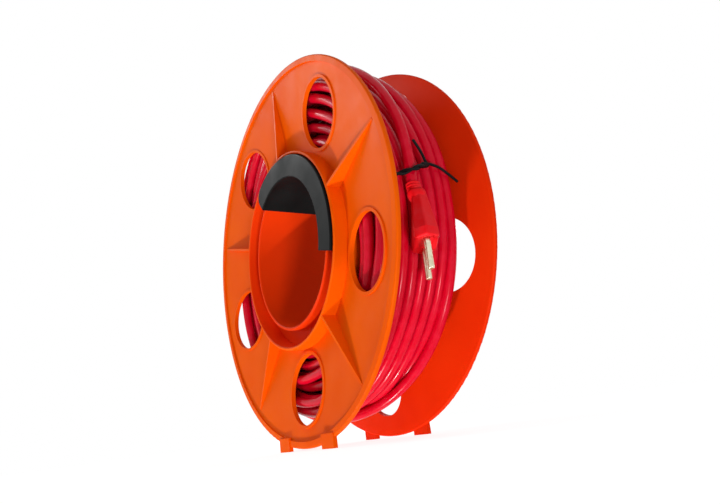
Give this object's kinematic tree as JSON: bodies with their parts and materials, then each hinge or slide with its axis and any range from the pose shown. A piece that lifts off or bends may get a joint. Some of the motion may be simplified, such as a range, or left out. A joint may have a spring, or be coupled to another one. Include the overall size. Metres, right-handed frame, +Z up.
{
  "type": "extension cord reel",
  "caption": "Hand-held cord reel: two dished discs with round windows on a drum, an arched grip that slides in the hub, and a wound cable with a plug and a connector.",
  "frame": {"origin": "middle of the reel's footprint, at the level of its feet", "axes": "+Z up; the drum's axis runs along Y at 151 mm up; the front disc, on whose side the plug's lead lies, faces -Y; the plug is towards +X"},
  "size_m": [0.3006, 0.1001, 0.301],
  "materials": {
    "orange_plastic": "moulded polypropylene, satin gloss",
    "black_plastic": "moulded, fine matte grain",
    "red_sheath": "extruded and moulded PVC, satin",
    "nickel_brass": "nickel plated",
    "zinc_steel": "zinc plated",
    "core_insulation": "insulated cores",
    "tie_wire": "plastic coated wire"
  },
  "bodies": {
    "reel": {"front_flange": "orange_plastic", "rear_flange": "orange_plastic", "drum_screws": "zinc_steel", "cable_inner_layers": "red_sheath", "cable_outer_turns": "red_sheath", "plug_lead": "red_sheath", "plug_body": "red_sheath", "plug_pin_outer": "nickel_brass", "plug_pin_inner": "nickel_brass", "plug_bridge": "black_plastic", "plug_crimps": "nickel_brass", "plug_cores": "core_insulation", "connector_lead": "red_sheath", "connector_body": "red_sheath", "connector_bridge": "black_plastic", "connector_contact_left": "nickel_brass", "connector_contact_right": "nickel_brass", "connector_crimps": "nickel_brass", "connector_cores": "core_insulation", "twist_tie": "tie_wire"},
    "handle": {"handle_front": "black_plastic", "handle_rear": "black_plastic"}
  },
  "joints": [
    {"name": "drum_spin", "type": "hinge", "parent": "reel", "child": "handle", "pos_m": [0, 0, 0.151], "axis": [0, 1, 0], "continuous": true}
  ]
}
